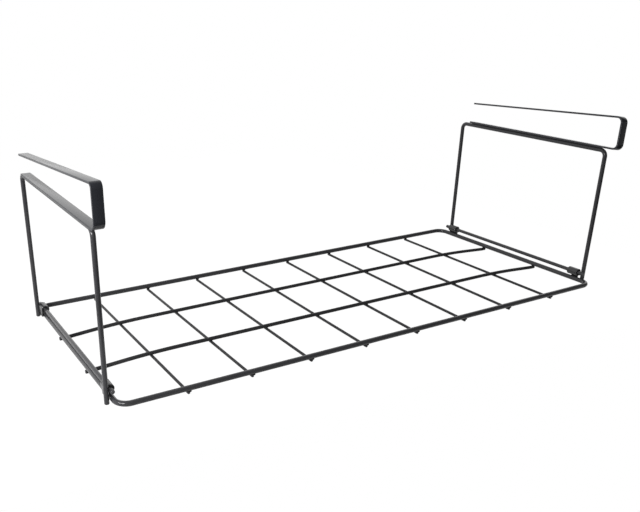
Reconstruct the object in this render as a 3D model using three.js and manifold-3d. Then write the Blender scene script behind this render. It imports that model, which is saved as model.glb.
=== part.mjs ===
// Under-shelf wire basket: a flat welded wire tray that hangs from two folding side frames,
// each ending in a strap bent into a sprung clip for the edge of a shelf.
// Millimetres, +X along the tray, -Y to the front, +Z up, standing on Z = 0.

import * as THREE from 'three';
import * as BufferGeometryUtils from 'three/addons/utils/BufferGeometryUtils.js';
import Module from 'manifold-3d';

const wasm = await Module();
wasm.setup();

// Clearances
const WELD_GAP = 0.2; // left between two wires that are welded together
const STOP_GAP = 0.4; // leg end to end rail when the side frame stands upright
const HINGE_GAP = 0.3; // hinge bar to the inside of its rolled knuckle
const LEG_GAP = 0.3; // knuckle end to the leg beside it

// Base ring, measured between wire centres
const RING_LENGTH = 450;
const RING_DEPTH = 192;
const RING_WIRE = 4.0;
const RING_CORNER = 9; // bend radius of the wire centre

// Wire grid
const CROSS_WIRE = 2.2;
const CROSS_COUNT = 8;
const CROSS_TRIM = 1.1; // cut back from the outer side of the ring
const LONG_WIRE = 3.0;
const LONG_ROWS = ['front', 'back'];
const LONG_TRIM = 0.2; // cut back from the outer side of the ring
const RAMP_FOOT = 2; // foot of a long wire's ramp inside the centre of the end rail
const RAMP_HEAD = 2; // head of the ramp outside the last cross wire
const RAMP_BEND = 30; // bend radius of the wire centre
const WIRE_CHAMFER = 0.3; // broken edge on each cut end

// Hinge bars and knuckles
const BAR_WIRE = 3.2;
const BAR_STUB = 1.8; // past the outer side of the leg
const KNUCKLE_SHEET = 1.4;
const KNUCKLE_LENGTH = 10;
const KNUCKLE_RISE = 1.0; // clear height between the end rail and the rolled eye
const TAIL_WIDTH = 6.5;
const TAIL_DROP = 0.3; // tail end below the centre of the end rail
const TAIL_JOG = 2.6; // height over which the tail steps over to the rail's outer side

// Side frames
const FRAME_WIRE = 3.6;
const FRAME_INSET = 11.7; // leg centre inside the front and back rails
const FRAME_RISE = 117; // ring centre to the centre of the top bar
const FRAME_CORNER = 5; // bend radius of the wire centre
const LEG_DROP = 3.2; // leg end below the ring centre

// Shelf clips
const STRAP_WIDTH = 7.5;
const STRAP_SHEET = 1.5;
const LEFT_FRONT = 14; // web centre in front of the front leg, the left clip being set further out
const RIGHT_FRONT = 11.2;
const CLIP_BACK = 12; // strap ends short of the back leg
const LEFT_WEB = 26.6; // clear height at the web
const RIGHT_WEB = 24.4;
const LEFT_MOUTH = 13.6; // clear height at the open end, the left clip being bent further in
const RIGHT_MOUTH = 16.7;
const RIGHT_TILT = 6.5; // degrees by which the right web leans back
const RIGHT_ROLL = 9; // degrees by which the right strap is turned outward on the top bar
const CLIP_BEND = 4; // bend radius of the strap centre

// Facets
const THICK_SIDES = 16;
const THIN_SIDES = 12;
const BEND_STEPS = 8;
const RAMP_STEPS = 4;
const EYE_STEPS = 20;

// Places that follow from the sizes above
const ringRadius = RING_WIRE / 2;
const crossRadius = CROSS_WIRE / 2;
const longRadius = LONG_WIRE / 2;
const barRadius = BAR_WIRE / 2;
const frameRadius = FRAME_WIRE / 2;

const ringZ = LONG_WIRE + WELD_GAP + ringRadius;
const crossZ = ringZ - ringRadius - WELD_GAP - crossRadius;
const longEndZ = ringZ - ringRadius - WELD_GAP - longRadius;
const longMidZ = crossZ + crossRadius + WELD_GAP + longRadius;

const endX = RING_LENGTH / 2;
const sideY = RING_DEPTH / 2;
const crossPitch = RING_LENGTH / (CROSS_COUNT + 1);
const longPitch = RING_DEPTH / (LONG_ROWS.length + 1);

const eyeInner = barRadius + HINGE_GAP;
const eyeOuter = eyeInner + KNUCKLE_SHEET;
const legX = endX + ringRadius + STOP_GAP + frameRadius;
const legY = sideY - FRAME_INSET;
const barX = legX - frameRadius - WELD_GAP - barRadius;
const barZ = ringZ + ringRadius + KNUCKLE_RISE + eyeOuter;
const topZ = ringZ + FRAME_RISE;
const knuckleY = legY - frameRadius - LEG_GAP - KNUCKLE_LENGTH / 2;

// Materials: satin black powder coat on drawn wire, rolled eyes and pressed straps
const coat = (color, roughness) => new THREE.MeshStandardMaterial({ color, roughness, metalness: 0.1 });
const wireCoat = coat(0x232325, 0.42);
const gridCoat = coat(0x29292b, 0.45);
const eyeCoat = coat(0x202022, 0.48);
const strapCoat = coat(0x262628, 0.36);

/** A wire route through chosen points, so that a sweep has its sections there and nowhere else. */
class WireRoute extends THREE.Curve {
  constructor(points) {
    super();
    this.points = points;
  }

  getPoint(t, target = new THREE.Vector3()) {
    const last = this.points.length - 1;
    const place = THREE.MathUtils.clamp(t, 0, 1) * last;
    const index = Math.min(Math.floor(place), last - 1);
    return target.lerpVectors(this.points[index], this.points[index + 1], place - index);
  }

  getUtoTmapping(u) {
    return u;
  }
}

/** Points of a route that bends by arcs of one radius at its inner corners. */
function bentRoute(corners, radius, steps = BEND_STEPS) {
  const points = [corners[0].clone()];
  for (let i = 1; i < corners.length - 1; i += 1) {
    const corner = corners[i];
    const back = corners[i - 1].clone().sub(corner).normalize();
    const ahead = corners[i + 1].clone().sub(corner).normalize();
    const half = back.angleTo(ahead) / 2;
    const middle = back.clone().add(ahead).normalize();
    const centre = corner.clone().addScaledVector(middle, radius / Math.sin(half));
    const start = corner.clone().addScaledVector(back, radius / Math.tan(half)).sub(centre);
    const axis = start.clone().cross(corner.clone().sub(centre)).normalize();
    const sweep = Math.PI - 2 * half;
    for (let k = 0; k <= steps; k += 1) {
      const turned = start.clone().applyAxisAngle(axis, (sweep * k) / steps);
      points.push(centre.clone().add(turned));
    }
  }
  points.push(corners[corners.length - 1].clone());
  return points;
}

/** A round wire swept along points, with flat cut ends. */
function sweptWire(points, diameter, sides) {
  const section = new THREE.Shape();
  section.absarc(0, 0, diameter / 2, 0, Math.PI * 2, false);
  return new THREE.ExtrudeGeometry(section, {
    steps: points.length - 1,
    curveSegments: sides,
    bevelEnabled: false,
    extrudePath: new WireRoute(points),
  });
}

/** A straight round wire along Y, centred on the origin, with broken edges on its ends. */
function straightWire(length, diameter, sides) {
  const radius = diameter / 2;
  const half = length / 2;
  const profile = [
    new THREE.Vector2(0, -half),
    new THREE.Vector2(radius - WIRE_CHAMFER, -half),
    new THREE.Vector2(radius, -half + WIRE_CHAMFER),
    new THREE.Vector2(radius, half - WIRE_CHAMFER),
    new THREE.Vector2(radius - WIRE_CHAMFER, half),
    new THREE.Vector2(0, half),
  ];
  return new THREE.LatheGeometry(profile, sides);
}

/** The outline of a sheet strip of even thickness, from its centre line and the normals there. */
function stripShape(stations, thickness) {
  const half = thickness / 2;
  const one = stations.map(({ point, normal }) => point.clone().addScaledVector(normal, half));
  const other = stations.map(({ point, normal }) => point.clone().addScaledVector(normal, -half));
  const outline = [...one, ...other.reverse()];
  if (THREE.ShapeUtils.isClockWise(outline)) {
    outline.reverse();
  }
  return new THREE.Shape(outline);
}

const station = (x, y, nx, ny) => ({
  point: new THREE.Vector2(x, y),
  normal: new THREE.Vector2(nx, ny).normalize(),
});

/** Stations round an arc; the normal points away from the arc's centre. */
function arcStations(x, y, radius, from, to, steps) {
  const stations = [];
  for (let i = 0; i <= steps; i += 1) {
    const angle = from + ((to - from) * i) / steps;
    const nx = Math.cos(angle);
    const ny = Math.sin(angle);
    stations.push(station(x + radius * nx, y + radius * ny, nx, ny));
  }
  return stations;
}

/** A three.js geometry as a manifold solid. */
function toSolid(geometry) {
  const bare = geometry.clone();
  bare.deleteAttribute('normal');
  bare.deleteAttribute('uv');
  const merged = BufferGeometryUtils.mergeVertices(bare);
  const mesh = new wasm.Mesh({
    numProp: 3,
    vertProperties: new Float32Array(merged.attributes.position.array),
    triVerts: new Uint32Array(merged.index.array),
  });
  return new wasm.Manifold(mesh);
}

/** A manifold solid as a three.js geometry. */
function fromSolid(solid) {
  const mesh = solid.getMesh();
  const geometry = new THREE.BufferGeometry();
  geometry.setAttribute('position', new THREE.BufferAttribute(new Float32Array(mesh.vertProperties), 3));
  geometry.setIndex(new THREE.BufferAttribute(new Uint32Array(mesh.triVerts), 1));
  geometry.computeVertexNormals();
  return geometry;
}

function named(name, geometry, material) {
  const mesh = new THREE.Mesh(geometry, material);
  mesh.name = name;
  return mesh;
}

/** The base ring: one wire bent to a rounded rectangle and closed. */
function baseRing() {
  const corners = [
    new THREE.Vector3(0, -sideY, 0),
    new THREE.Vector3(endX, -sideY, 0),
    new THREE.Vector3(endX, sideY, 0),
    new THREE.Vector3(-endX, sideY, 0),
    new THREE.Vector3(-endX, -sideY, 0),
    new THREE.Vector3(0, -sideY, 0),
  ];
  const points = bentRoute(corners, RING_CORNER);
  const route = new WireRoute(points);
  return new THREE.TubeGeometry(route, points.length - 1, ringRadius, THICK_SIDES, true);
}

/** A long wire: over the cross wires, then down a straight ramp at each end and under the end rail. */
function longWire() {
  const half = [
    new THREE.Vector3(endX + ringRadius - LONG_TRIM, 0, longEndZ),
    new THREE.Vector3(endX - RAMP_FOOT, 0, longEndZ),
    new THREE.Vector3(endX - crossPitch + RAMP_HEAD, 0, longMidZ),
  ];
  const mirrored = half.map((p) => new THREE.Vector3(-p.x, p.y, p.z)).reverse();
  const points = bentRoute([...half, ...mirrored], RAMP_BEND, RAMP_STEPS);
  return sweptWire(points, LONG_WIRE, THIN_SIDES);
}

/** A knuckle for the right end: sheet rolled round the hinge bar, its narrow tail outside the end rail. */
function knuckle() {
  const eyeRadius = (eyeInner + eyeOuter) / 2;
  const railX = endX - barX;
  const railZ = ringZ - barZ;
  const tailX = railX + ringRadius + WELD_GAP + KNUCKLE_SHEET / 2;
  const tailEnd = railZ - TAIL_DROP;
  const jogEnd = railZ + ringRadius / 3;
  const jogStart = jogEnd + TAIL_JOG;
  const eyeEnd = 2 * Math.PI - Math.acos((eyeInner - HINGE_GAP) / eyeOuter);
  const section = stripShape(
    [
      station(tailX, tailEnd, 1, 0),
      station(tailX, jogEnd, 1, 0),
      station(eyeRadius, jogStart, 1, 0),
      ...arcStations(0, 0, eyeRadius, 0, eyeEnd, EYE_STEPS),
    ],
    KNUCKLE_SHEET,
  );
  const sheet = new THREE.ExtrudeGeometry(section, { depth: KNUCKLE_LENGTH, bevelEnabled: false });
  sheet.translate(0, 0, -KNUCKLE_LENGTH / 2);
  sheet.rotateX(Math.PI / 2);

  // The tail is blanked narrower than the eye, with a notch at each side below the roll.
  const notchWidth = (KNUCKLE_LENGTH - TAIL_WIDTH) / 2;
  const notchTop = -eyeOuter;
  const notchHeight = notchTop - tailEnd + KNUCKLE_SHEET;
  const notchDepth = Math.max(tailX, eyeRadius) + KNUCKLE_SHEET;
  let solid = toSolid(sheet);
  for (const side of [-1, 1]) {
    const notch = new THREE.BoxGeometry(notchDepth, notchWidth * 2, notchHeight);
    notch.translate(notchDepth / 2, (side * KNUCKLE_LENGTH) / 2, notchTop - notchHeight / 2);
    solid = solid.subtract(toSolid(notch));
  }
  return fromSolid(solid);
}

/** A side frame: one wire bent to an upturned U in the plane X = 0. */
function sideFrame() {
  const corners = [
    new THREE.Vector3(0, -legY, ringZ - LEG_DROP),
    new THREE.Vector3(0, -legY, topZ),
    new THREE.Vector3(0, legY, topZ),
    new THREE.Vector3(0, legY, ringZ - LEG_DROP),
  ];
  return sweptWire(bentRoute(corners, FRAME_CORNER), FRAME_WIRE, THICK_SIDES);
}

/** A shelf clip: strap bent to a C that opens to the back, its two legs closing in on the shelf. */
function shelfClip(front, web, mouth, tiltDeg, rollDeg) {
  const lowZ = topZ + frameRadius + WELD_GAP + STRAP_SHEET / 2;
  const webY = -legY - front;
  const openY = legY - CLIP_BACK;
  const highWebZ = lowZ + STRAP_SHEET + web;
  const highOpenZ = lowZ + STRAP_SHEET + mouth;
  const tilt = THREE.MathUtils.degToRad(tiltDeg);
  const lowBendZ = lowZ + CLIP_BEND;
  const highBendZ = highWebZ - CLIP_BEND;
  const lowBendY = webY + CLIP_BEND;
  const highBendY = lowBendY + (highBendZ - lowBendZ) * Math.tan(tilt);
  const slope = Math.atan2(highOpenZ - highWebZ, openY - highBendY);
  const section = stripShape(
    [
      station(openY, lowZ, 0, -1),
      ...arcStations(lowBendY, lowBendZ, CLIP_BEND, -Math.PI / 2, -Math.PI - tilt, BEND_STEPS),
      ...arcStations(highBendY, highBendZ, CLIP_BEND, Math.PI - tilt, Math.PI / 2 + slope, BEND_STEPS),
      station(openY, highOpenZ, -Math.sin(slope), Math.cos(slope)),
    ],
    STRAP_SHEET,
  );
  const strap = new THREE.ExtrudeGeometry(section, { depth: STRAP_WIDTH, bevelEnabled: false });
  strap.translate(0, 0, -STRAP_WIDTH / 2);
  const turn = new THREE.Matrix4().makeBasis(
    new THREE.Vector3(0, 1, 0),
    new THREE.Vector3(0, 0, 1),
    new THREE.Vector3(1, 0, 0),
  );
  strap.applyMatrix4(turn);
  strap.translate(0, 0, -topZ);
  strap.rotateY(THREE.MathUtils.degToRad(rollDeg));
  return strap.translate(0, 0, topZ);
}

/** The tray: ring, grid and the four knuckles welded to its end rails. */
function tray() {
  const group = new THREE.Group();
  const ring = named('base_ring', baseRing(), wireCoat);
  ring.position.z = ringZ;
  group.add(ring);

  LONG_ROWS.forEach((row, i) => {
    const wire = named(`long_wire_${row}`, longWire(), gridCoat);
    wire.position.y = -sideY + (i + 1) * longPitch;
    group.add(wire);
  });

  const crossLength = RING_DEPTH + RING_WIRE - 2 * CROSS_TRIM;
  for (let i = 0; i < CROSS_COUNT; i += 1) {
    const wire = named(`cross_wire_${i + 1}`, straightWire(crossLength, CROSS_WIRE, THIN_SIDES), gridCoat);
    wire.position.set(-endX + (i + 1) * crossPitch, 0, crossZ);
    group.add(wire);
  }

  for (const [end, side] of [['left', -1], ['right', 1]]) {
    for (const [row, along] of [['front', -1], ['back', 1]]) {
      const eye = named(`knuckle_${end}_${row}`, knuckle(), eyeCoat);
      eye.position.set(side * barX, along * knuckleY, barZ);
      eye.rotation.z = side > 0 ? 0 : Math.PI;
      group.add(eye);
    }
  }
  return group;
}

/** One folding side: U frame, hinge bar and shelf clip. */
function foldingSide(end, side, clip) {
  const group = new THREE.Group();
  group.position.x = side * legX;
  group.add(named(`side_frame_${end}`, sideFrame(), wireCoat));
  group.add(named(`shelf_clip_${end}`, clip, strapCoat));
  const barLength = 2 * (legY + frameRadius + BAR_STUB);
  const bar = named(`hinge_bar_${end}`, straightWire(barLength, BAR_WIRE, THICK_SIDES), wireCoat);
  bar.position.set(side * (barX - legX), 0, barZ);
  group.add(bar);
  return group;
}

const basket = new THREE.Group();
basket.add(tray());
basket.add(foldingSide('left', -1, shelfClip(LEFT_FRONT, LEFT_WEB, LEFT_MOUTH, 0, 0)));
basket.add(foldingSide('right', 1, shelfClip(RIGHT_FRONT, RIGHT_WEB, RIGHT_MOUTH, RIGHT_TILT, RIGHT_ROLL)));

export default basket;
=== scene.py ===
"""Dresses the under-shelf basket: coated wire, rolled hinge eyes, bent straps and their welds.

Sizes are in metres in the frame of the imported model: +X along the tray, -Y to the front, +Z up.
"""

from __future__ import annotations

import logging
import math
from dataclasses import dataclass
from enum import Enum

import bpy
from mathutils import Euler, Matrix, Vector

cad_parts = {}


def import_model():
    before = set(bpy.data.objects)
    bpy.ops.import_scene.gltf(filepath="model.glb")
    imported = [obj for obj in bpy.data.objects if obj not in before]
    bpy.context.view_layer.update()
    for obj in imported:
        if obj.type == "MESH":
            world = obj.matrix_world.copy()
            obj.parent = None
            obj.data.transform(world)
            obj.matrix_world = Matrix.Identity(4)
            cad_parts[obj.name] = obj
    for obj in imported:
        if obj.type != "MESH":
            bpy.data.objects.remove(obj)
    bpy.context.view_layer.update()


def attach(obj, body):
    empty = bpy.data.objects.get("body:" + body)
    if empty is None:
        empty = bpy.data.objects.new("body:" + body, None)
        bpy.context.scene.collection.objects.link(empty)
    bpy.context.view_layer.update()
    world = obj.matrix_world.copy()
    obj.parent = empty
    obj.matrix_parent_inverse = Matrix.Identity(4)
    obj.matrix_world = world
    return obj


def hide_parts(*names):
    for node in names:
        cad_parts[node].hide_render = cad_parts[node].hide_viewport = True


MM = 0.001
QUARTER = math.pi / 2
EDGE_MASK = "edge_pull"
SMOOTH_ANGLE = math.radians(38)
SHARP_ANGLE = math.radians(50)
MERGE_GAP = 0.001 * MM
PICK_GAP = 0.01 * MM
SIDE_FACE_CORNERS = 4
CAP_SEGMENTS = 4
EDGE_SEGMENTS = 3
# Shares of a radius: where the coat is thin on a rounded edge and at a cut end
RIM_SPAN = (0.05, 0.9)
CAP_REACH = 1.02
LOG = logging.getLogger("basket")

Colour = tuple[float, float, float]
Place = tuple[float, float, float]
Span = tuple[float, float]


class Body(Enum):
    """The bodies that the pieces ride on."""

    TRAY = "tray"
    LEFT = "left_side"
    RIGHT = "right_side"


class Slot(Enum):
    """The record's material slots."""

    FRAME = "frame_coat"
    GRID = "grid_coat"
    EYE = "knuckle_coat"
    STRAP = "strap_coat"


class End(Enum):
    """The two ends of the tray, by their direction along X."""

    LEFT = -1
    RIGHT = 1

    @property
    def word(self) -> str:
        """The end's name as the nodes spell it."""
        return self.name.lower()

    @property
    def body(self) -> Body:
        """The folding side at this end."""
        return Body.LEFT if self is End.LEFT else Body.RIGHT


class Row(Enum):
    """The front and back of the tray, by their direction along Y."""

    FRONT = -1
    BACK = 1

    @property
    def word(self) -> str:
        """The row's name as the nodes spell it."""
        return self.name.lower()


class Axis(Enum):
    """The direction that a new section faces."""

    X = (0.0, QUARTER, 0.0)
    Y = (QUARTER, 0.0, 0.0)
    Z = (0.0, 0.0, 0.0)


@dataclass(frozen=True)
class Layout:
    """Sizes and places shared by the sub-assemblies, as the solids have them."""

    end_x: float = 225.0 * MM
    side_y: float = 96.0 * MM
    ring_z: float = 5.2 * MM
    ring_wire: float = 4.0 * MM
    ring_corner: float = 9.0 * MM
    cross_wire: float = 2.2 * MM
    cross_z: float = 1.9 * MM
    cross_count: int = 8
    long_wire: float = 3.0 * MM
    long_low_z: float = 1.5 * MM
    long_high_z: float = 4.7 * MM
    long_y: float = 32.0 * MM
    bar_wire: float = 3.2 * MM
    bar_x: float = 225.6 * MM
    bar_z: float = 11.5 * MM
    frame_wire: float = 3.6 * MM
    leg_x: float = 229.2 * MM
    leg_y: float = 84.3 * MM
    leg_low_z: float = 2.0 * MM
    top_z: float = 122.2 * MM
    frame_corner: float = 5.0 * MM
    eye_y: float = 77.2 * MM
    weld_z: float = 3.1 * MM

    @property
    def pitch(self) -> float:
        """The step from one cross wire to the next."""
        return 2 * self.end_x / (self.cross_count + 1)

    def cross_x(self) -> list[float]:
        """Places of the cross wires along X."""
        return [-self.end_x + (i + 1) * self.pitch for i in range(self.cross_count)]


LAYOUT = Layout()


class Bench:
    """Small moves at the modelling bench, each one an operator on the active piece."""

    @staticmethod
    def clear() -> None:
        """Leaves edit mode and deselects everything."""
        if bpy.context.object and bpy.context.object.mode != "OBJECT":
            bpy.ops.object.mode_set(mode="OBJECT")
        bpy.ops.object.select_all(action="DESELECT")

    @staticmethod
    def take(piece: bpy.types.Object) -> None:
        """Makes one piece the only selected and active one.

        Args:
            piece: The piece to work on.
        """
        Bench.clear()
        piece.select_set(True)
        bpy.context.view_layer.objects.active = piece

    @staticmethod
    def settle(piece: bpy.types.Object) -> None:
        """Puts a piece's place, turn and scale into its mesh.

        Args:
            piece: The piece to settle.
        """
        Bench.take(piece)
        bpy.ops.object.transform_apply(location=True, rotation=True, scale=True)

    @staticmethod
    def edit() -> None:
        """Enters edit mode on the active piece."""
        bpy.ops.object.mode_set(mode="EDIT")

    @staticmethod
    def leave() -> None:
        """Returns to object mode."""
        bpy.ops.object.mode_set(mode="OBJECT")

    @staticmethod
    def run(travel: Vector) -> None:
        """Extrudes the selected section along a straight line.

        Args:
            travel: How far and in which direction the section goes.
        """
        bpy.ops.mesh.extrude_region_move(TRANSFORM_OT_translate={"value": travel})

    @staticmethod
    def bend(angle: float, centre: Vector, axis: Vector, steps: int) -> None:
        """Spins the selected section round an axis. The operator itself turns clockwise.

        Args:
            angle: The turn in radians, counterclockwise seen against the axis.
            centre: A point on the axis.
            axis: The axis of the bend.
            steps: How many facets the bend has.
        """
        bpy.ops.mesh.spin(steps=steps, angle=-angle, center=centre, axis=axis)

    @staticmethod
    def close_up() -> None:
        """Merges doubled points and turns all faces outwards, in edit mode."""
        bpy.ops.mesh.select_all(action="SELECT")
        bpy.ops.mesh.remove_doubles(threshold=MERGE_GAP)
        bpy.ops.mesh.normals_make_consistent(inside=False)

    @staticmethod
    def pick_faces(piece: bpy.types.Object, chosen: list[bool]) -> None:
        """Selects faces and nothing else, in object mode.

        Args:
            piece: The piece whose faces are picked.
            chosen: For each face of its mesh, whether it is picked.
        """
        mesh = piece.data
        for parts in (mesh.vertices, mesh.edges):
            parts.foreach_set("select", [False] * len(parts))
        mesh.polygons.foreach_set("select", chosen)

    @staticmethod
    def round_caps(piece: bpy.types.Object, radius: float) -> None:
        """Rounds the rims of the flat ends of a wire.

        Args:
            piece: A wire whose ends are single faces.
            radius: The radius of the rounded rim.
        """
        Bench.take(piece)
        caps = [len(face.vertices) > SIDE_FACE_CORNERS for face in piece.data.polygons]
        Bench.pick_faces(piece, caps)
        Bench.edit()
        bpy.ops.mesh.select_mode(type="FACE")
        bpy.ops.mesh.bevel(offset=radius, segments=CAP_SEGMENTS, affect="EDGES")
        Bench.leave()

    @staticmethod
    def soften(piece: bpy.types.Object, radius: float) -> None:
        """Rounds every sharp edge with a bevel that is then applied.

        Args:
            piece: The piece to soften.
            radius: The radius of the edges.
        """
        Bench.take(piece)
        bevel = piece.modifiers.new("coat_edge", "BEVEL")
        bevel.width = radius
        bevel.segments = EDGE_SEGMENTS
        bevel.limit_method = "ANGLE"
        bevel.angle_limit = SHARP_ANGLE
        bpy.ops.object.modifier_apply(modifier=bevel.name)

    @staticmethod
    def smooth(piece: bpy.types.Object) -> None:
        """Shades a piece smooth across its gentle angles.

        Args:
            piece: The piece to shade.
        """
        Bench.take(piece)
        bpy.ops.object.shade_smooth_by_angle(angle=SMOOTH_ANGLE)

    @staticmethod
    def copy(piece: bpy.types.Object, name: str, turn: Matrix) -> bpy.types.Object:
        """Copies a finished piece with a mesh of its own.

        Args:
            piece: The piece to copy.
            name: The copy's name.
            turn: Where the copy goes, from where the piece is.

        Returns:
            The copy, settled in its new place.
        """
        Bench.take(piece)
        bpy.ops.object.duplicate(linked=False)
        twin = bpy.context.object
        twin.name = name
        twin.data.name = name
        twin.matrix_world = turn
        Bench.settle(twin)
        return twin

    @staticmethod
    def mark_edges(piece: bpy.types.Object, thin: list[bool]) -> None:
        """Stores where the coat is thin.

        Args:
            piece: The piece to mark.
            thin: For each point of its mesh, whether the coat is thin there.
        """
        mask = piece.data.attributes.new(EDGE_MASK, "FLOAT", "POINT")
        mask.data.foreach_set("value", [float(there) for there in thin])

    @staticmethod
    def mark_rims(piece: bpy.types.Object, gaps: list[float], radius: float) -> None:
        """Marks the rounded edges, between the two faces that each one joins.

        Args:
            piece: The piece to mark.
            gaps: For each point of its mesh, how far it is inside the outer face.
            radius: The radius of the edges.
        """
        start, end = RIM_SPAN
        Bench.mark_edges(piece, [start * radius < gap < end * radius for gap in gaps])


@dataclass
class WireBender:
    """Bends one round wire, run by run, from a round section."""

    name: str
    gauge: float
    sides: int = 32
    bend_steps: int = 16

    def start(self, place: Vector, facing: Axis, open_ended: bool) -> bpy.types.Object:
        """Adds the first section and enters edit mode.

        Args:
            place: The centre of the section.
            facing: The direction of the wire there.
            open_ended: True for a wire that closes on itself and has no caps.

        Returns:
            The new piece.
        """
        Bench.clear()
        fill = "NOTHING" if open_ended else "NGON"
        bpy.ops.mesh.primitive_circle_add(
            vertices=self.sides,
            radius=self.gauge / 2,
            fill_type=fill,
            location=place,
            rotation=facing.value,
        )
        piece = bpy.context.object
        piece.name = self.name
        piece.data.name = self.name
        Bench.settle(piece)
        Bench.edit()
        bpy.ops.mesh.select_all(action="SELECT")
        return piece

    def corner(self, angle: float, centre: Vector, axis: Vector) -> None:
        """Bends the wire round a former.

        Args:
            angle: The turn in radians.
            centre: The middle of the former.
            axis: The former's axis.
        """
        Bench.bend(angle, centre, axis, self.bend_steps)

    def cut(self, piece: bpy.types.Object, rim: float) -> bpy.types.Object:
        """Finishes a wire with two cut and coated ends.

        Args:
            piece: The wire in edit mode.
            rim: The radius of the rounded rims.

        Returns:
            The finished wire.
        """
        Bench.close_up()
        Bench.leave()
        faces = piece.data.polygons
        caps = [face.center.copy() for face in faces if len(face.vertices) > SIDE_FACE_CORNERS]
        Bench.round_caps(piece, rim)
        reach = self.gauge / 2 * CAP_REACH
        near = [min((point.co - cap).length for cap in caps) for point in piece.data.vertices]
        Bench.mark_edges(piece, [gap < reach for gap in near])
        Bench.smooth(piece)
        return piece

    def join_ends(self, piece: bpy.types.Object) -> bpy.types.Object:
        """Finishes a wire that closes on itself.

        Args:
            piece: The wire in edit mode, its last section on its first.

        Returns:
            The finished wire.
        """
        Bench.close_up()
        Bench.leave()
        Bench.mark_edges(piece, [False] * len(piece.data.vertices))
        Bench.smooth(piece)
        return piece


class NodeShop:
    """Short calls for shader node trees."""

    MIX_INPUTS = (0, 6, 7)
    MIX_RESULT = 2

    def __init__(self, tree: bpy.types.NodeTree) -> None:
        """Keeps the tree that the calls work on."""
        self.tree = tree

    @classmethod
    def fresh(cls, owner: bpy.types.Material | bpy.types.World) -> NodeShop:
        """Opens the empty node tree of a new material or world."""
        owner.use_nodes = True
        owner.node_tree.nodes.clear()
        return cls(owner.node_tree)

    def add(self, kind: str, **settings: object) -> bpy.types.Node:
        """Adds a node.

        Args:
            kind: The node's type name.
            **settings: Properties to set on it.

        Returns:
            The new node.
        """
        node = self.tree.nodes.new(kind)
        for key, value in settings.items():
            setattr(node, key, value)
        return node

    def link(self, source: bpy.types.NodeSocket, target: bpy.types.NodeSocket) -> None:
        """Joins two sockets."""
        self.tree.links.new(source, target)

    def maths(self, operation: str, first: object, second: object) -> bpy.types.NodeSocket:
        """Adds a Math node.

        Args:
            operation: The operation's name.
            first: A socket or a number.
            second: A socket or a number.

        Returns:
            The node's result.
        """
        node = self.add("ShaderNodeMath", operation=operation)
        for socket, value in zip(node.inputs, (first, second)):
            if isinstance(value, bpy.types.NodeSocket):
                self.link(value, socket)
            else:
                socket.default_value = value
        return node.outputs[0]

    def mix(
        self,
        share: bpy.types.NodeSocket,
        first: bpy.types.NodeSocket,
        second: bpy.types.NodeSocket,
    ) -> bpy.types.NodeSocket:
        """Mixes two colours.

        Args:
            share: The share of the second colour.
            first: The first colour.
            second: The second colour.

        Returns:
            The mixed colour.
        """
        node = self.add("ShaderNodeMix", data_type="RGBA")
        for number, source in zip(self.MIX_INPUTS, (share, first, second)):
            self.link(source, node.inputs[number])
        return node.outputs[self.MIX_RESULT]

    def ramp(
        self,
        value: bpy.types.NodeSocket,
        start_end: Span,
        low_high: Span,
    ) -> bpy.types.NodeSocket:
        """Adds a smooth ramp.

        Args:
            value: The socket that drives the ramp.
            start_end: Where the ramp starts and where it ends.
            low_high: What it gives there.

        Returns:
            The ramp's result.
        """
        node = self.add("ShaderNodeMapRange", interpolation_type="SMOOTHSTEP")
        names = ("From Min", "From Max", "To Min", "To Max")
        for name, number in zip(names, (*start_end, *low_high)):
            node.inputs[name].default_value = number
        self.link(value, node.inputs["Value"])
        return node.outputs["Result"]


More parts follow.
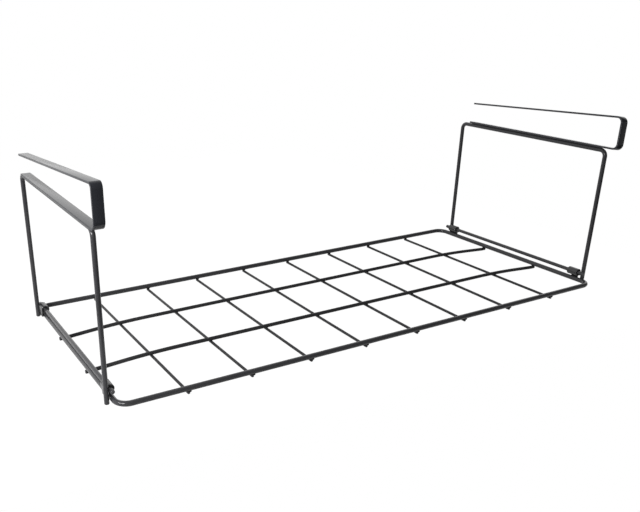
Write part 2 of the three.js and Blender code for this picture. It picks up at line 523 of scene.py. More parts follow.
class CoatGroup:
    """The shared look of powder coat: clouded tone, fine flecks, orange peel and thin edges."""

    NAME = "powder_coat"
    TONES = ("Tone", "Deep Tone", "Edge Tone")
    SCALES = ("Edge", "Cloud Scale", "Fleck Scale", "Peel Scale")
    SHEENS = ("Smooth", "Rough", "Edge Rough")
    CLOUD_DETAIL = 3.0
    FLECK_DETAIL = 1.0
    CLOUD_SPAN = (0.3, 0.7)
    CLOUD_SHARE = 0.5
    FLECK_SHARE = 0.5
    PEEL_SHARE = 0.8

    @classmethod
    def get(cls) -> bpy.types.NodeTree:
        """Returns the node group, built at its first use."""
        return bpy.data.node_groups.get(cls.NAME) or cls._build()

    @classmethod
    def _build(cls) -> bpy.types.NodeTree:
        """Builds the node group.

        Returns:
            The new group.
        """
        tree = bpy.data.node_groups.new(cls.NAME, "ShaderNodeTree")
        face = tree.interface
        face.new_socket("Vector", in_out="INPUT", socket_type="NodeSocketVector")
        for name in cls.TONES:
            face.new_socket(name, in_out="INPUT", socket_type="NodeSocketColor")
        for name in (*cls.SCALES, *cls.SHEENS):
            face.new_socket(name, in_out="INPUT", socket_type="NodeSocketFloat")
        face.new_socket("Colour", in_out="OUTPUT", socket_type="NodeSocketColor")
        for name in ("Roughness", "Height"):
            face.new_socket(name, in_out="OUTPUT", socket_type="NodeSocketFloat")
        shop = NodeShop(tree)
        given = shop.add("NodeGroupInput").outputs
        result = shop.add("NodeGroupOutput").inputs

        clouds = shop.add("ShaderNodeTexNoise")
        clouds.inputs["Detail"].default_value = cls.CLOUD_DETAIL
        flecks = shop.add("ShaderNodeTexNoise")
        flecks.inputs["Detail"].default_value = cls.FLECK_DETAIL
        peel = shop.add("ShaderNodeTexVoronoi", feature="SMOOTH_F1")
        for pattern, scale in ((clouds, "Cloud Scale"), (flecks, "Fleck Scale"), (peel, "Peel Scale")):
            shop.link(given["Vector"], pattern.inputs["Vector"])
            shop.link(given[scale], pattern.inputs["Scale"])

        spread = shop.ramp(clouds.outputs["Fac"], cls.CLOUD_SPAN, (0.0, 1.0))
        grain = shop.maths("MULTIPLY", flecks.outputs["Fac"], cls.FLECK_SHARE)
        blend = shop.maths("ADD", shop.maths("MULTIPLY", spread, cls.CLOUD_SHARE), grain)

        tone = shop.mix(blend, given["Deep Tone"], given["Tone"])
        shop.link(shop.mix(given["Edge"], tone, given["Edge Tone"]), result["Colour"])

        sheen = shop.add("ShaderNodeMapRange")
        shop.link(blend, sheen.inputs["Value"])
        shop.link(given["Smooth"], sheen.inputs["To Min"])
        shop.link(given["Rough"], sheen.inputs["To Max"])
        worn = shop.maths("MULTIPLY", given["Edge"], given["Edge Rough"])
        shop.link(shop.maths("ADD", sheen.outputs["Result"], worn), result["Roughness"])

        waves = shop.maths("MULTIPLY", peel.outputs["Distance"], cls.PEEL_SHARE)
        shop.link(shop.maths("ADD", waves, grain), result["Height"])
        return tree


@dataclass(frozen=True)
class PowderCoat:
    """One powder-coated finish.

    Attributes:
        slot: The record's slot that the finish stands for.
        tone: The lighter tone of the clouds.
        deep: The darker tone of the clouds.
        edge: The tone where the coat is thin.
        smooth: The least roughness.
        rough: The most roughness.
        peel: How strong the orange peel is.
        shine: The level of the plain reflection.
        glance: The clear layer where the surface is seen at a slant.
        gloss: The clear layer where the surface is seen straight on.
        edge_rough: How much rougher the thin coat at the edges is.
        cloud_scale: How fine the clouds are.
        fleck_scale: How fine the flecks are.
        peel_scale: How fine the orange peel is.
        peel_depth: The depth of the orange peel.
        index: The coat's index of refraction.
        layer_rough: The roughness of the clear layer.
        slant: Where the clear layer goes from straight on to a slant.
        fade: Where the clear layer fades out towards the outline.
    """

    slot: Slot
    tone: Colour
    deep: Colour
    edge: Colour
    smooth: float
    rough: float
    peel: float
    shine: float = 0.5
    glance: float = 0.0
    gloss: float = 0.0
    edge_rough: float = 0.0
    cloud_scale: float = 45.0
    fleck_scale: float = 2200.0
    peel_scale: float = 900.0
    peel_depth: float = 0.05 * MM
    index: float = 1.5
    layer_rough: float = 0.12
    slant: Span = (0.3, 0.55)
    fade: Span = (0.7, 0.9)

    @property
    def name(self) -> str:
        """The material's name."""
        return self.slot.value + "_finish"

    def material(self) -> bpy.types.Material:
        """Returns the finish as a material, made at its first use."""
        return bpy.data.materials.get(self.name) or self._build()

    def _build(self) -> bpy.types.Material:
        """Builds the material.

        Returns:
            The new material.
        """
        made = bpy.data.materials.new(self.name)
        shop = NodeShop.fresh(made)
        place = shop.add("ShaderNodeTexCoord")
        edge = shop.add("ShaderNodeAttribute", attribute_name=EDGE_MASK)
        coat = shop.add("ShaderNodeGroup", node_tree=CoatGroup.get())
        shop.link(place.outputs["Object"], coat.inputs["Vector"])
        shop.link(edge.outputs["Fac"], coat.inputs["Edge"])
        settings = {
            "Tone": (*self.tone, 1.0),
            "Deep Tone": (*self.deep, 1.0),
            "Edge Tone": (*self.edge, 1.0),
            "Cloud Scale": self.cloud_scale,
            "Fleck Scale": self.fleck_scale,
            "Peel Scale": self.peel_scale,
            "Smooth": self.smooth,
            "Rough": self.rough,
            "Edge Rough": self.edge_rough,
        }
        for name, value in settings.items():
            coat.inputs[name].default_value = value
        bump = shop.add("ShaderNodeBump")
        bump.inputs["Strength"].default_value = self.peel
        bump.inputs["Distance"].default_value = self.peel_depth
        shop.link(coat.outputs["Height"], bump.inputs["Height"])
        shader = shop.add("ShaderNodeBsdfPrincipled")
        shader.inputs["IOR"].default_value = self.index
        shader.inputs["Specular IOR Level"].default_value = self.shine
        shader.inputs["Coat Roughness"].default_value = self.layer_rough
        facing = shop.add("ShaderNodeLayerWeight").outputs["Facing"]
        layer = shop.ramp(facing, self.slant, (self.gloss, self.glance))
        rim = shop.ramp(facing, self.fade, (1.0, 0.0))
        shop.link(shop.maths("MULTIPLY", layer, rim), shader.inputs["Coat Weight"])
        shop.link(coat.outputs["Colour"], shader.inputs["Base Color"])
        shop.link(coat.outputs["Roughness"], shader.inputs["Roughness"])
        shop.link(bump.outputs["Normal"], shader.inputs["Normal"])
        end = shop.add("ShaderNodeOutputMaterial")
        shop.link(shader.outputs["BSDF"], end.inputs["Surface"])
        return made

    def dress(self, piece: bpy.types.Object, body: Body, *nodes: str) -> bpy.types.Object:
        """Coats a piece, sets it on its body and lets it stand for its nodes.

        Args:
            piece: The finished piece.
            body: The body that it rides on.
            *nodes: The nodes that it stands for.

        Returns:
            The same piece.
        """
        piece.data.materials.clear()
        piece.data.materials.append(self.material())
        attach(piece, body.value)
        if nodes:
            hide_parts(*nodes)
        LOG.info("%s on %s", piece.name, body.value)
        return piece


FRAME_COAT = PowderCoat(
    slot=Slot.FRAME,
    tone=(0.0255, 0.0255, 0.0275),
    deep=(0.0197, 0.0197, 0.0212),
    edge=(0.0400, 0.0400, 0.0425),
    smooth=0.26,
    rough=0.40,
    peel=0.20,
    shine=0.06,
    gloss=0.35,
    glance=0.9,
)
GRID_COAT = PowderCoat(
    slot=Slot.GRID,
    tone=(0.0185, 0.0185, 0.0196),
    deep=(0.0132, 0.0132, 0.0140),
    edge=(0.0270, 0.0270, 0.0286),
    smooth=0.28,
    rough=0.42,
    peel=0.20,
    shine=0.06,
    gloss=0.15,
    glance=0.25,
)
EYE_COAT = PowderCoat(
    slot=Slot.EYE,
    tone=(0.0125, 0.0125, 0.0134),
    deep=(0.0085, 0.0085, 0.0091),
    edge=(0.0450, 0.0450, 0.0480),
    smooth=0.20,
    rough=0.32,
    peel=0.30,
    shine=0.2,
    gloss=0.7,
    glance=0.8,
)
STRAP_COAT = PowderCoat(
    slot=Slot.STRAP,
    tone=(0.0152, 0.0159, 0.0187),
    deep=(0.0125, 0.0131, 0.0155),
    edge=(0.0220, 0.0226, 0.0256),
    smooth=0.12,
    rough=0.17,
    peel=0.20,
    shine=0.30,
    edge_rough=0.4,
)


@dataclass
class WeldSpots:
    """Weld nuggets under the coat, gathered into one piece for each body."""

    name: str
    body: Body
    finish: PowderCoat
    cuts: int = 3
    swell: float = 0.92

    @staticmethod
    def spot(middle: Vector, halves: Place, lean: float = 0.0) -> Matrix:
        """Puts the place and size of a nugget into one matrix.

        Args:
            middle: The middle of the nugget.
            halves: Its half lengths.
            lean: Its turn about Y in radians.

        Returns:
            The matrix that takes the nugget there.
        """
        turn = Matrix.Rotation(lean, 4, "Y")
        return Matrix.Translation(middle) @ turn @ Matrix.Diagonal((*halves, 1.0))

    def build(self, spots: list[Matrix]) -> bpy.types.Object:
        """Models one nugget and sets a copy at each weld.

        Args:
            spots: The place and size of each nugget.

        Returns:
            The nuggets as one piece.
        """
        nugget = self._nugget()
        copies = [Bench.copy(nugget, self.name, spot) for spot in spots]
        bpy.data.objects.remove(nugget)
        Bench.clear()
        for twin in copies:
            twin.select_set(True)
        bpy.context.view_layer.objects.active = copies[0]
        bpy.ops.object.join()
        piece = bpy.context.object
        piece.name = self.name
        Bench.mark_edges(piece, [False] * len(piece.data.vertices))
        Bench.smooth(piece)
        return self.finish.dress(piece, self.body)

    def _nugget(self) -> bpy.types.Object:
        """Models a nugget with half lengths of one: a cut-up cube swelled almost to a ball.

        Returns:
            The nugget.
        """
        Bench.clear()
        bpy.ops.mesh.primitive_cube_add(size=2.0)
        piece = bpy.context.object
        Bench.edit()
        bpy.ops.mesh.select_all(action="SELECT")
        bpy.ops.mesh.subdivide(number_cuts=self.cuts)
        bpy.ops.transform.tosphere(value=self.swell)
        Bench.close_up()
        Bench.leave()
        widest = max(abs(point.co.x) for point in piece.data.vertices)
        piece.scale = (1 / widest, 1 / widest, 1 / widest)
        Bench.settle(piece)
        return piece


@dataclass
class TrayRing:
    """The thick wire ring round the tray."""

    layout: Layout
    finish: PowderCoat

    def build(self) -> bpy.types.Object:
        """Bends the ring from the middle of the front rail and joins its ends.

        Returns:
            The dressed ring.
        """
        place = self.layout
        bend = place.ring_corner
        half_x = place.end_x - bend
        half_y = place.side_y - bend
        bender = WireBender("ring_wire", place.ring_wire)
        piece = bender.start(Vector((0, -place.side_y, place.ring_z)), Axis.X, open_ended=True)
        up = Vector((0, 0, 1))
        rails = ((half_x, 0, 0), (0, 2 * half_y, 0), (-2 * half_x, 0, 0), (0, -2 * half_y, 0))
        turns = ((half_x, -half_y), (half_x, half_y), (-half_x, half_y), (-half_x, -half_y))
        for rail, (x, y) in zip(rails, turns):
            Bench.run(Vector(rail))
            bender.corner(QUARTER, Vector((x, y, place.ring_z)), up)
        Bench.run(Vector((half_x, 0, 0)))
        bender.join_ends(piece)
        return self.finish.dress(piece, Body.TRAY, "base_ring")


@dataclass
class WireGrid:
    """The thin wires of the tray floor."""

    layout: Layout
    finish: PowderCoat
    cross_trim: float = 1.1 * MM
    long_trim: float = 0.2 * MM
    ramp_foot: float = 2.0 * MM
    ramp_head: float = 2.0 * MM
    foot_bend: float = 30.0 * MM
    head_bend: float = 700.0 * MM
    bend_steps: int = 8
    sides: int = 24
    rim: float = 0.45 * MM

    def build(self) -> list[bpy.types.Object]:
        """Makes the long wires and the cross wires.

        Returns:
            The dressed wires.
        """
        return [*self._long_wires(), *self._cross_wires()]

    def _long_wires(self) -> list[bpy.types.Object]:
        """Bends one long wire and copies it to the other row.

        Returns:
            The two dressed wires.
        """
        place = self.layout
        low = place.long_low_z
        high = place.long_high_z
        tip = place.end_x + place.ring_wire / 2 - self.long_trim
        foot = place.end_x - self.ramp_foot
        head = place.end_x - place.pitch + self.ramp_head
        slope = math.atan2(high - low, foot - head)
        foot_run = self.foot_bend * math.tan(slope / 2)
        head_run = self.head_bend * math.tan(slope / 2)
        ramp = math.hypot(high - low, foot - head) - foot_run - head_run
        outer = foot + foot_run
        inner = head - head_run
        rise = Vector((ramp * math.cos(slope), 0, ramp * math.sin(slope)))
        fall = Vector((rise.x, 0, -rise.z))
        across = Vector((0, 1, 0))
        y = -place.long_y
        name = "long_wire_front_coated"
        bender = WireBender(name, place.long_wire, self.sides, self.bend_steps)
        piece = bender.start(Vector((-tip, y, low)), Axis.X, open_ended=False)
        Bench.run(Vector((tip - outer, 0, 0)))
        bender.corner(-slope, Vector((-outer, y, low + self.foot_bend)), across)
        Bench.run(rise)
        bender.corner(slope, Vector((-inner, y, high - self.head_bend)), across)
        Bench.run(Vector((2 * inner, 0, 0)))
        bender.corner(slope, Vector((inner, y, high - self.head_bend)), across)
        Bench.run(fall)
        bender.corner(-slope, Vector((outer, y, low + self.foot_bend)), across)
        Bench.run(Vector((tip - outer, 0, 0)))
        bender.cut(piece, self.rim)
        shift = Matrix.Translation((0, 2 * place.long_y, 0))
        other = Bench.copy(piece, "long_wire_back_coated", shift)
        return [
            self.finish.dress(piece, Body.TRAY, "long_wire_front"),
            self.finish.dress(other, Body.TRAY, "long_wire_back"),
        ]

    def _cross_wires(self) -> list[bpy.types.Object]:
        """Cuts one cross wire and copies it along the tray.

        Returns:
            The dressed wires.
        """
        place = self.layout
        reach = place.side_y + place.ring_wire / 2 - self.cross_trim
        pattern = WireBender("cross_wire_pattern", place.cross_wire, self.sides)
        first = pattern.start(Vector((0, reach, place.cross_z)), Axis.Y, open_ended=False)
        Bench.run(Vector((0, -2 * reach, 0)))
        pattern.cut(first, self.rim)
        wires = []
        for number, x in enumerate(place.cross_x(), start=1):
            wire = Bench.copy(first, f"cross_wire_{number}_coated", Matrix.Translation((x, 0, 0)))
            wires.append(self.finish.dress(wire, Body.TRAY, f"cross_wire_{number}"))
        bpy.data.objects.remove(first)
        return wires


@dataclass
class HingeEyes:
    """The four sheet strips rolled round the hinge bars, with their narrow tails."""

    layout: Layout
    finish: PowderCoat
    sheet: float = 1.4 * MM
    length: float = 10.0 * MM
    tail_width: float = 6.5 * MM
    inner_radius: float = 1.9 * MM
    tail_step: float = 0.3 * MM
    tail_end: float = -6.6 * MM
    jog_low: float = -5.633 * MM
    notch_top: float = -3.3 * MM
    roll: float = math.radians(299)
    roll_steps: int = 40
    edge: float = 0.22 * MM

    def build(self) -> list[bpy.types.Object]:
        """Rolls one eye and copies it to the four corners.

        Returns:
            The dressed eyes.
        """
        place = self.layout
        pattern = self._eye()
        eyes = []
        for end in End:
            for row in Row:
                spot = Vector((end.value * place.bar_x, row.value * place.eye_y, place.bar_z))
                facing = 0.0 if end is End.RIGHT else math.pi
                turn = Matrix.Translation(spot) @ Matrix.Rotation(facing, 4, "Z")
                name = f"{end.word}_{row.word}"
                eye = Bench.copy(pattern, f"hinge_eye_{name}", turn)
                eyes.append(self.finish.dress(eye, Body.TRAY, f"knuckle_{name}"))
        bpy.data.objects.remove(pattern)
        return eyes

    def _eye(self) -> bpy.types.Object:
        """Rolls an eye round the Y axis, its tail to the outer side of the end rail.

        Returns:
            The eye at the origin.
        """
        middle = self.inner_radius + self.sheet / 2
        Bench.clear()
        bpy.ops.mesh.primitive_plane_add(size=1.0, location=(middle, 0, self.notch_top))
        piece = bpy.context.object
        piece.scale = (self.sheet, self.length, 1.0)
        Bench.settle(piece)
        Bench.edit()
        for y in (-self.tail_width / 2, self.tail_width / 2):
            bpy.ops.mesh.select_all(action="SELECT")
            bpy.ops.mesh.bisect(plane_co=(0, y, 0), plane_no=(0, 1, 0))
        bpy.ops.mesh.select_all(action="SELECT")
        Bench.run(Vector((0, 0, -self.notch_top)))
        Bench.bend(-self.roll, Vector((0, 0, 0)), Vector((0, 1, 0)), self.roll_steps)
        Bench.leave()
        Bench.pick_faces(piece, self._tail_faces(piece))
        Bench.edit()
        bpy.ops.mesh.select_mode(type="FACE")
        Bench.run(Vector((-self.tail_step, 0, self.jog_low - self.notch_top)))
        Bench.run(Vector((0, 0, self.tail_end - self.jog_low)))
        Bench.close_up()
        Bench.leave()
        Bench.soften(piece, self.edge)
        gaps = [self.length / 2 - abs(point.co.y) for point in piece.data.vertices]
        Bench.mark_rims(piece, gaps, self.edge)
        Bench.smooth(piece)
        return piece

    def _tail_faces(self, piece: bpy.types.Object) -> list[bool]:
        """Finds the middle face at the start of the strip.

        Args:
            piece: The strip with its eye rolled.

        Returns:
            For each face, whether the tail starts from it.
        """
        middles = [face.center for face in piece.data.polygons]
        top = self.notch_top
        return [abs(spot.z - top) < PICK_GAP and abs(spot.y) < PICK_GAP for spot in middles]


@dataclass(frozen=True)
class ClipShape:
    """How one strap clip is bent and how it sits on its top bar."""

    web_y: float
    web_gap: float
    mouth: float
    low_bend: float = 4.0 * MM
    high_bend: float = 4.0 * MM
    tilt: float = 0.0
    roll: float = 0.0


LEFT_CLIP = ClipShape(
    web_y=-98.3 * MM,
    web_gap=26.6 * MM,
    mouth=13.6 * MM,
    low_bend=6.0 * MM,
    high_bend=3.2 * MM,
)
RIGHT_CLIP = ClipShape(
    web_y=-95.5 * MM,
    web_gap=24.4 * MM,
    mouth=16.7 * MM,
    high_bend=5.0 * MM,
    tilt=math.radians(6.5),
    roll=math.radians(9.0),
)
CLIPS = {End.LEFT: LEFT_CLIP, End.RIGHT: RIGHT_CLIP}


@dataclass
class FoldingSide:
    """One folding side: the U frame, its hinge bar and its shelf clip."""

    layout: Layout
    end: End
    shape: ClipShape
    wire_finish: PowderCoat
    strap_finish: PowderCoat
    bar_stub: float = 1.8 * MM
    rim: float = 0.6 * MM
    strap_width: float = 7.5 * MM
    strap_sheet: float = 1.5 * MM
    strap_low_z: float = 124.95 * MM
    strap_open_y: float = 72.3 * MM
    strap_edge: float = 0.3 * MM
    strap_steps: int = 16

    def build(self) -> list[bpy.types.Object]:
        """Makes the frame, the bar and the clip.

        Returns:
            The dressed pieces.
        """
        return [self._frame(), self._bar(), self._clip()]

    @property
    def leg_x(self) -> float:
        """Place of the frame along X."""
        return self.end.value * self.layout.leg_x

    def _frame(self) -> bpy.types.Object:
        """Bends the U frame from the foot of its front leg.

        Returns:
            The dressed frame.
        """
        place = self.layout
        bend = place.frame_corner
        word = self.end.word
        bender = WireBender(f"frame_wire_{word}", place.frame_wire)
        foot = Vector((self.leg_x, -place.leg_y, place.leg_low_z))
        piece = bender.start(foot, Axis.Z, open_ended=False)
        half_y = place.leg_y - bend
        along = Vector((1, 0, 0))
        shoulder = place.top_z - bend
        rise = shoulder - place.leg_low_z
        Bench.run(Vector((0, 0, rise)))
        bender.corner(-QUARTER, Vector((self.leg_x, -half_y, shoulder)), along)
        Bench.run(Vector((0, 2 * half_y, 0)))
        bender.corner(-QUARTER, Vector((self.leg_x, half_y, shoulder)), along)
        Bench.run(Vector((0, 0, -rise)))
        bender.cut(piece, self.rim)
        return self.wire_finish.dress(piece, self.end.body, f"side_frame_{word}")

    def _bar(self) -> bpy.types.Object:
        """Cuts the hinge bar.

        Returns:
            The dressed bar.
        """
        place = self.layout
        word = self.end.word
        reach = place.leg_y + place.frame_wire / 2 + self.bar_stub
        bender = WireBender(f"hinge_rod_{word}", place.bar_wire)
        tip = Vector((self.end.value * place.bar_x, reach, place.bar_z))
        piece = bender.start(tip, Axis.Y, open_ended=False)
        Bench.run(Vector((0, -2 * reach, 0)))
        bender.cut(piece, self.rim)
        return self.wire_finish.dress(piece, self.end.body, f"hinge_bar_{word}")

    def _clip(self) -> bpy.types.Object:
        """Bends the strap clip from the open end of its lower leg.

        Returns:
            The dressed clip.
        """
        shape = self.shape
        low = self.strap_low_z
        low_bend = Vector((self.leg_x, shape.web_y + shape.low_bend, low + shape.low_bend))
        high_web = low + self.strap_sheet + shape.web_gap
        high_open = low + self.strap_sheet + shape.mouth
        back = Vector((0, math.cos(shape.tilt), -math.sin(shape.tilt)))
        low_face = low_bend - shape.low_bend * back
        climb = high_web - shape.high_bend * (1 + back.z) - low_face.z
        web = Vector((0, climb * math.tan(shape.tilt), climb))
        high_bend = low_face + web + shape.high_bend * back
        fall = math.atan2(high_web - high_open, self.strap_open_y - high_bend.y)
        piece = self._strap_end()
        along = Vector((1, 0, 0))
        Bench.run(Vector((0, low_bend.y - self.strap_open_y, 0)))
        Bench.bend(-QUARTER - shape.tilt, low_bend, along, self.strap_steps)
        Bench.run(web)
        Bench.bend(shape.tilt - QUARTER - fall, high_bend, along, self.strap_steps)
        reach = self.strap_open_y - high_bend.y - shape.high_bend * math.sin(fall)
        Bench.run(Vector((0, reach, -reach * math.tan(fall))))
        Bench.close_up()
        Bench.leave()
        Bench.soften(piece, self.strap_edge)
        half = self.strap_width / 2
        gaps = [half - abs(point.co.x - self.leg_x) for point in piece.data.vertices]
        Bench.mark_rims(piece, gaps, self.strap_edge)
        Bench.smooth(piece)
        bar = Matrix.Translation((self.leg_x, 0, self.layout.top_z))
        piece.matrix_world = bar @ Matrix.Rotation(shape.roll, 4, "Y") @ bar.inverted()
        Bench.settle(piece)
        return self.strap_finish.dress(piece, self.end.body, f"shelf_clip_{self.end.word}")

    def _strap_end(self) -> bpy.types.Object:
        """Adds the flat section at the open end of the lower leg and enters edit mode.

        Returns:
            The new piece.
        """
        Bench.clear()
        bpy.ops.mesh.primitive_plane_add(
            size=1.0,
            location=(self.leg_x, self.strap_open_y, self.strap_low_z),
            rotation=Axis.Y.value,
        )
        piece = bpy.context.object
        piece.name = f"strap_{self.end.word}"
        piece.data.name = piece.name
        piece.scale = (self.strap_width, self.strap_sheet, 1.0)
        Bench.settle(piece)
        Bench.edit()
        bpy.ops.mesh.select_all(action="SELECT")
        return piece


@dataclass
class TrayWelds:
    """The welds of the grid to the ring and of the hinge tails to the end rails."""

    layout: Layout
    finish: PowderCoat
    rail_halves: Place = (1.7 * MM, 1.2 * MM, 0.75 * MM)
    rail_shift: Place = (0.6 * MM, 0.3 * MM, -0.15 * MM)
    crossing_halves: Place = (0.9 * MM, 0.9 * MM, 0.55 * MM)
    end_halves: Place = (1.4 * MM, 1.0 * MM, 0.6 * MM)
    tail_halves: Place = (0.5 * MM, 3.2 * MM, 0.8 * MM)
    tail_gap: float = 0.1 * MM

    def build(self) -> bpy.types.Object:
        """Sets the nuggets of the tray.

        Returns:
            The dressed welds.
        """
        spots = [*self._grid_spots(), *self._end_spots()]
        return WeldSpots("tray_welds", Body.TRAY, self.finish).build(spots)

    def _grid_spots(self) -> list[Matrix]:
        """Places the welds of the cross wires.

        Returns:
            The place and size of each nugget.
        """
        place = self.layout
        along, out, up = self.rail_shift
        spots = []
        for x in place.cross_x():
            for row in Row:
                rail_y = row.value * (place.side_y + out)
                under_rail = Vector((x + along, rail_y, place.weld_z + up))
                spots.append(WeldSpots.spot(under_rail, self.rail_halves))
                under_long = Vector((x, row.value * place.long_y, place.weld_z))
                spots.append(WeldSpots.spot(under_long, self.crossing_halves))
        return spots

    def _end_spots(self) -> list[Matrix]:
        """Places the welds on the end rails.

        Returns:
            The place and size of each nugget.
        """
        place = self.layout
        tail_x = place.end_x + place.ring_wire / 2 + self.tail_gap
        spots = []
        for end in End:
            for row in Row:
                long_end = Vector((end.value * place.end_x, row.value * place.long_y, place.weld_z))
                spots.append(WeldSpots.spot(long_end, self.end_halves))
                tail = Vector((end.value * tail_x, row.value * place.eye_y, place.ring_z))
                spots.append(WeldSpots.spot(tail, self.tail_halves))
        return spots


@dataclass
class SideWelds:
    """The welds of a hinge bar to its legs and of a strap to its top bar."""

    layout: Layout
    end: End
    shape: ClipShape
    finish: PowderCoat
    bar_halves: Place = (0.6 * MM, 1.2 * MM, 1.1 * MM)
    stitch_halves: Place = (1.3 * MM, 9.0 * MM, 0.5 * MM)
    stitch_gap: float = 0.1 * MM
    stitch_y: tuple[float, ...] = (-62.0 * MM, -20.0 * MM, 22.0 * MM, 62.0 * MM)

    def build(self) -> bpy.types.Object:
        """Sets the nuggets of one folding side.

        Returns:
            The dressed welds.
        """
        place = self.layout
        side = self.end.value
        lean = self.shape.roll
        touch_x = (place.bar_x + place.leg_x + place.bar_wire / 2 - place.frame_wire / 2) / 2
        step = Vector((0, 0, place.frame_wire / 2 + self.stitch_gap))
        step.rotate(Matrix.Rotation(lean, 3, "Y"))
        spots = []
        for row in Row:
            leg = Vector((side * touch_x, row.value * place.leg_y, place.bar_z))
            spots.append(WeldSpots.spot(leg, self.bar_halves))
        for y in self.stitch_y:
            top = Vector((side * place.leg_x, y, place.top_z))
            spots.append(WeldSpots.spot(top + step, self.stitch_halves, lean))
        name = f"{self.end.word}_side_welds"
        return WeldSpots(name, self.end.body, self.finish).build(spots)


@dataclass(frozen=True)
class LightPanel:
    """A soft lamp that faces the middle of the tray."""

    name: str
    place: Place
    width: float
    height: float
    power: float
    mirrored: bool = False

    def hang(self, scene: bpy.types.Scene) -> None:
        """Hangs the lamp in its place.

        Args:
            scene: The scene that gets the lamp.
        """
        panel = bpy.data.lights.new(self.name, "AREA")
        panel.shape = "RECTANGLE"
        panel.size = self.width
        panel.size_y = self.height
        panel.energy = self.power
        lamp = bpy.data.objects.new(self.name, panel)
        lamp.visible_glossy = self.mirrored
        scene.collection.objects.link(lamp)
        turn = (-Vector(self.place)).to_track_quat("-Z", "Y").to_matrix().to_4x4()
        lamp.matrix_world = Matrix.Translation(self.place) @ turn


PANELS = (
    LightPanel("side_panel", (-0.57, -0.26, 0.26), width=0.34, height=0.10, power=4.8, mirrored=True),
    LightPanel("left_panel", (-0.62, 0.1, 0.25), width=0.3, height=0.3, power=2.6),
    LightPanel("front_panel", (-0.3, -1.1, 0.4), width=0.6, height=0.6, power=4.0),
    LightPanel("top_panel", (-0.1, -0.1, 1.3), width=1.0, height=1.0, power=6.0),
    LightPanel("right_panel", (0.73, -0.44, 0.13), width=0.3, height=0.3, power=0.06, mirrored=True),
)


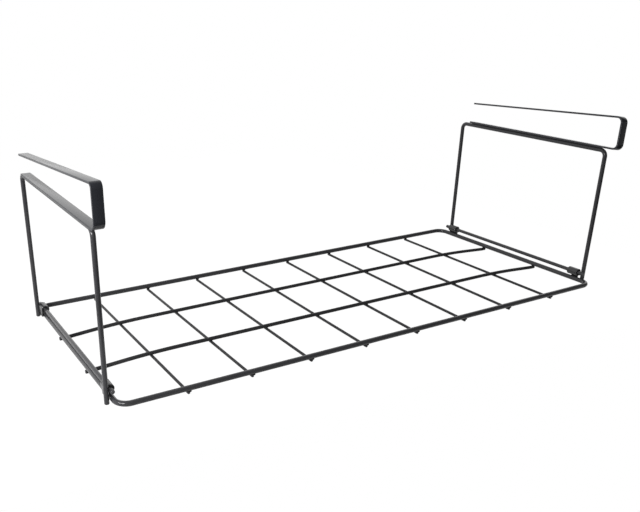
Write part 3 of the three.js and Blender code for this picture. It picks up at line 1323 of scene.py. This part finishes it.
@dataclass(frozen=True)
class Studio:
    """The pale room, its soft light and the camera."""

    image_width: int = 640
    image_height: int = 512
    focal_pixels: float = 759.65
    centre_x: float = 223.65
    centre_y: float = 316.82
    camera_place: Place = (-0.36278, -0.50943, 0.25438)
    camera_down: float = math.radians(23.4626)
    camera_heading: float = math.radians(-27.5231)
    camera_roll: float = math.radians(-0.7190)
    sensor: float = 36.0
    near_clip: float = 0.01
    far_clip: float = 100.0
    floor_half_x: float = 0.34
    floor_front: float = -0.16
    floor_back: float = 0.6
    floor_z: float = -0.05 * MM
    floor_glow: float = 1.14
    floor_tone: float = 0.4
    floor_seen: float = 0.85
    floor_mirrored: float = 0.25
    room_back: float = 1.0
    room_front: float = 0.06
    room_low: float = 0.5
    room_turn: Span = (-0.2, 0.5)
    room_dusk: Span = (-0.25, -0.08)

    def build(self) -> None:
        """Makes the camera, the room light and the floor."""
        scene = bpy.context.scene
        scene.view_settings.view_transform = "Standard"
        self._camera(scene)
        self._room(scene)
        for panel in PANELS:
            panel.hang(scene)
        self._floor()

    def _camera(self, scene: bpy.types.Scene) -> None:
        """Sets the camera where the photograph was taken.

        Args:
            scene: The scene that gets the camera.
        """
        lens = bpy.data.cameras.new("photo_camera")
        lens.sensor_fit = "HORIZONTAL"
        lens.sensor_width = self.sensor
        lens.lens = self.focal_pixels * self.sensor / self.image_width
        lens.shift_x = (self.image_width / 2 - self.centre_x) / self.image_width
        lens.shift_y = (self.centre_y - self.image_height / 2) / self.image_width
        lens.clip_start = self.near_clip
        lens.clip_end = self.far_clip
        eye = bpy.data.objects.new("photo_camera", lens)
        scene.collection.objects.link(eye)
        aim = Euler((QUARTER - self.camera_down, 0.0, self.camera_heading)).to_matrix()
        roll = Matrix.Rotation(self.camera_roll, 3, "Z")
        eye.matrix_world = Matrix.Translation(self.camera_place) @ (aim @ roll).to_4x4()
        scene.camera = eye

    def _room(self, scene: bpy.types.Scene) -> None:
        """Lights the room, white behind the object, dimmer behind the camera and below.

        Args:
            scene: The scene that gets the light.
        """
        world = bpy.data.worlds.new("pale_room")
        scene.world = world
        shop = NodeShop.fresh(world)
        place = shop.add("ShaderNodeTexCoord")
        split = shop.add("ShaderNodeSeparateXYZ")
        shop.link(place.outputs["Generated"], split.inputs["Vector"])
        behind = shop.ramp(split.outputs["Y"], self.room_turn, (self.room_front, self.room_back))
        dusk = shop.ramp(split.outputs["Z"], self.room_dusk, (self.room_low, 1.0))
        strength = shop.maths("MULTIPLY", behind, dusk)
        path = shop.add("ShaderNodeLightPath")
        seen = shop.maths("MAXIMUM", strength, path.outputs["Is Camera Ray"])
        light = shop.add("ShaderNodeBackground")
        light.inputs["Color"].default_value = (1.0, 1.0, 1.0, 1.0)
        shop.link(seen, light.inputs["Strength"])
        end = shop.add("ShaderNodeOutputWorld")
        shop.link(light.outputs["Background"], end.inputs["Surface"])

    def _floor(self) -> None:
        """Lays the pale floor under the basket."""
        Bench.clear()
        middle = (self.floor_front + self.floor_back) / 2
        bpy.ops.mesh.primitive_plane_add(size=1.0, location=(0, middle, self.floor_z))
        floor = bpy.context.object
        floor.name = "pale_floor"
        floor.scale = (2 * self.floor_half_x, self.floor_back - self.floor_front, 1.0)
        Bench.settle(floor)
        paint = bpy.data.materials.new("pale_floor_paint")
        shop = NodeShop.fresh(paint)
        matt = shop.add("ShaderNodeBsdfDiffuse")
        matt.inputs["Color"].default_value = (self.floor_tone, self.floor_tone, self.floor_tone, 1.0)
        glow = shop.add("ShaderNodeEmission")
        glow.inputs["Strength"].default_value = self.floor_glow
        path = shop.add("ShaderNodeLightPath")
        seen = shop.maths("MULTIPLY", path.outputs["Is Camera Ray"], self.floor_seen)
        glossy = path.outputs["Is Glossy Ray"]
        rays = shop.maths("MAXIMUM", glossy, path.outputs["Is Transmission Ray"])
        mirrored = shop.maths("MULTIPLY", rays, self.floor_mirrored)
        share = shop.maths("MAXIMUM", seen, mirrored)
        mix = shop.add("ShaderNodeMixShader")
        shop.link(share, mix.inputs[0])
        shop.link(matt.outputs["BSDF"], mix.inputs[1])
        shop.link(glow.outputs["Emission"], mix.inputs[2])
        end = shop.add("ShaderNodeOutputMaterial")
        shop.link(mix.outputs["Shader"], end.inputs["Surface"])
        floor.data.materials.append(paint)


@dataclass
class Basket:
    """The whole basket, built sub-assembly by sub-assembly."""

    layout: Layout

    def build(self) -> None:
        """Builds and dresses every piece."""
        TrayRing(self.layout, FRAME_COAT).build()
        WireGrid(self.layout, GRID_COAT).build()
        HingeEyes(self.layout, EYE_COAT).build()
        for end in End:
            FoldingSide(self.layout, end, CLIPS[end], FRAME_COAT, STRAP_COAT).build()
        TrayWelds(self.layout, GRID_COAT).build()
        for end in End:
            SideWelds(self.layout, end, CLIPS[end], FRAME_COAT).build()


def main() -> None:
    """Builds the basket and its studio."""
    logging.basicConfig(level=logging.INFO, format="%(name)s: %(message)s")
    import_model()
    Basket(LAYOUT).build()
    Studio().build()
    Bench.clear()
    bpy.context.view_layer.update()


if __name__ == "__main__":
    main()
